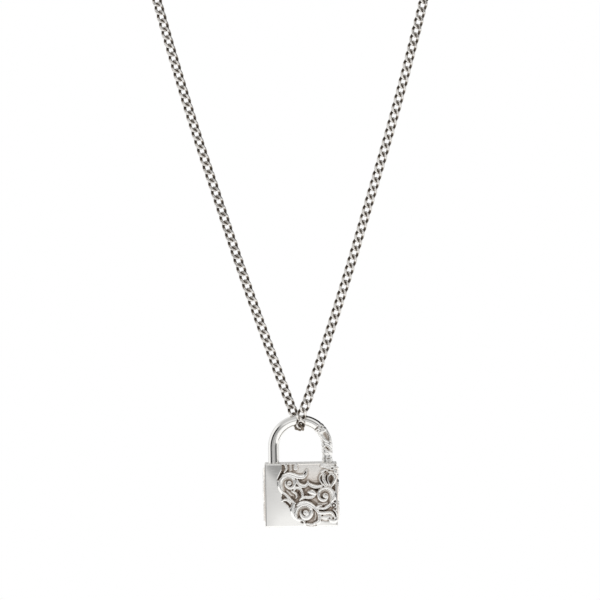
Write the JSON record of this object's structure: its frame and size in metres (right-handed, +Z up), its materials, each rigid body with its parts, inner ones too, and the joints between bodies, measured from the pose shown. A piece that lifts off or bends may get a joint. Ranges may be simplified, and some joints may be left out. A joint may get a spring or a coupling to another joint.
{
  "type": "padlock necklace",
  "caption": "Silver curb chain necklace with a working-size padlock pendant: round shackle with a carved right leg, square body with cast leaf scrollwork down one side.",
  "frame": {"origin": "the middle of the clasp ring at the nape, where the necklace hangs on a wearer", "axes": "+Z up, front of the padlock towards -Y, +X to the right seen from the front"},
  "size_m": [0.1054, 0.1104, 0.2105],
  "materials": {
    "cast_silver": "cast silver, polished on its high places, its sunk ground darkened and matte",
    "polished_silver": "polished silver with light wear",
    "chain_silver": "polished silver links, darker in the gaps"
  },
  "bodies": {
    "chain": {"chain_right": "chain_silver", "chain_left": "chain_silver", "clasp": "chain_silver"},
    "padlock": {"padlock_body": "cast_silver", "shackle": "polished_silver"}
  },
  "joints": [
    {"name": "padlock_swing", "type": "hinge", "parent": "chain", "child": "padlock", "pos_m": [0.0005, -0.103, -0.178], "axis": [1, 0, 0], "range_deg": [-60, 60]}
  ]
}
